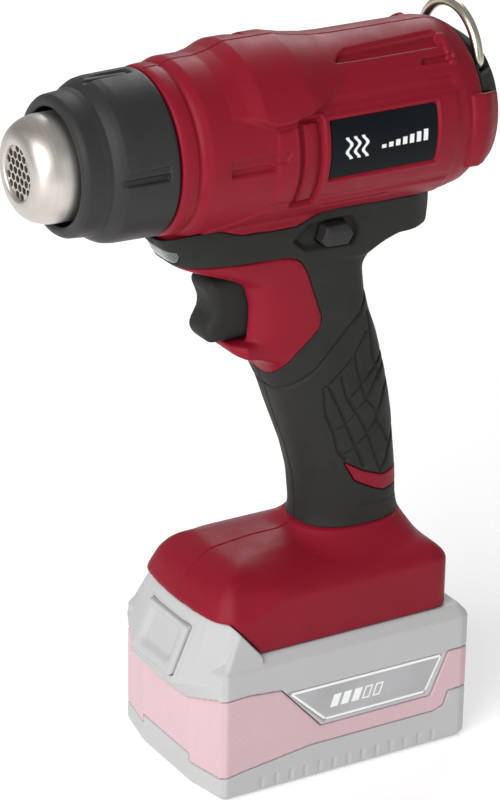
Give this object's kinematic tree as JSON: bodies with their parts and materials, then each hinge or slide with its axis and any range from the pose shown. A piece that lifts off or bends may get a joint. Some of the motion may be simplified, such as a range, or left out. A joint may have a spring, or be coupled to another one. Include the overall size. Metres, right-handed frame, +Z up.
{
  "type": "cordless heat gun",
  "caption": "Cordless heat gun: barrel with a guarded metal outlet, pistol grip with trigger and lock bolt, hanging ring, and a slide-on battery pack.",
  "frame": {"origin": "centre of the flat underside of the battery pack, on which the tool stands", "axes": "+Z up, -X the way the hot air leaves, -Y the tool's left side"},
  "size_m": [0.1927, 0.076, 0.293],
  "materials": {
    "red_shell": "fine texture, satin",
    "soft_grip": "matte soft-touch",
    "guard_black": "satin glass-filled nylon",
    "stainless": "brushed, slightly heat tinted",
    "ring_wire": "nickel plated",
    "plated_steel": "plain zinc",
    "mica": "pressed mica sheet",
    "heating_wire": "oxidised resistance wire",
    "inner_black": "plain moulded",
    "clear_lens": "clear polycarbonate",
    "circuit_board": "solder mask",
    "label_film": "printed film",
    "dark_screw": "black oxide",
    "pack_grey": "fine texture",
    "pack_rose": "coarse grip texture",
    "pack_label": "printed film",
    "cell_wrap": "shrink wrap"
  },
  "bodies": {
    "housing": {"left_housing": "red_shell", "right_housing": "red_shell", "left_overmould": "soft_grip", "right_overmould": "soft_grip", "left_grip_accent": "red_shell", "right_grip_accent": "red_shell", "left_label_plate": "label_film", "right_label_plate": "label_film", "housing_screw_1": "dark_screw", "housing_screw_2": "dark_screw", "housing_screw_3": "dark_screw", "housing_screw_4": "dark_screw", "housing_screw_5": "dark_screw", "housing_screw_6": "dark_screw", "heat_guard": "guard_black", "outlet_nozzle": "stainless", "outlet_grille": "stainless", "heater_sleeve": "mica", "heater_former": "mica", "heater_coil": "heating_wire", "thermal_cutout": "plated_steel", "air_guide": "inner_black", "motor": "plated_steel", "motor_mount": "inner_black", "rear_cap": "soft_grip", "trigger_spring": "plated_steel", "switch_body": "inner_black", "led_lens": "clear_lens", "led_board": "circuit_board", "control_board": "circuit_board", "terminal_block": "inner_black"},
    "fan": {"impeller": "inner_black", "motor_shaft": "plated_steel"},
    "ring": {"hang_ring": "ring_wire"},
    "trigger_unit": {"trigger": "guard_black"},
    "lock_bolt": {"lock_button": "guard_black"},
    "battery": {"pack_upper_shell": "pack_grey", "pack_band": "pack_rose", "pack_lower_shell": "pack_grey", "pack_label_left": "pack_label", "pack_label_right": "pack_label", "pack_screw_1": "dark_screw", "pack_screw_2": "dark_screw", "pack_screw_3": "dark_screw", "pack_screw_4": "dark_screw", "cell_1": "cell_wrap", "cell_2": "cell_wrap", "cell_3": "cell_wrap", "cell_4": "cell_wrap", "cell_5": "cell_wrap", "cell_6": "cell_wrap", "cell_7": "cell_wrap", "cell_8": "cell_wrap", "cell_9": "cell_wrap", "cell_10": "cell_wrap", "cell_holder": "inner_black", "pack_board": "circuit_board", "contact_block": "inner_black", "release_spring": "plated_steel"},
    "release": {"release_button": "pack_grey"}
  },
  "joints": [
    {"name": "trigger_pull", "type": "slide", "parent": "housing", "child": "trigger_unit", "axis": [1, 0, 0], "range_m": [0, 0.006], "stiffness_N_per_m": 500, "springref_m": -0.004, "deforming": ["trigger_spring"]},
    {"name": "lock_bolt_slide", "type": "slide", "parent": "housing", "child": "lock_bolt", "axis": [0, 1, 0], "range_m": [0, 0.003]},
    {"name": "fan_spin", "type": "hinge", "parent": "housing", "child": "fan", "pos_m": [0.006, 0, 0.254], "axis": [1, 0, 0], "continuous": true},
    {"name": "ring_swing", "type": "hinge", "parent": "housing", "child": "ring", "pos_m": [0.0605, 0, 0.2715], "axis": [0, 1, 0], "range_deg": [0, 90]},
    {"name": "pack_slide", "type": "slide", "parent": "housing", "child": "battery", "axis": [-1, 0, 0], "range_m": [0, 0.12]},
    {"name": "release_press", "type": "slide", "parent": "battery", "child": "release", "axis": [1, 0, 0], "range_m": [0, 0.003], "stiffness_N_per_m": 800, "springref_m": -0.002, "deforming": ["release_spring"]}
  ]
}
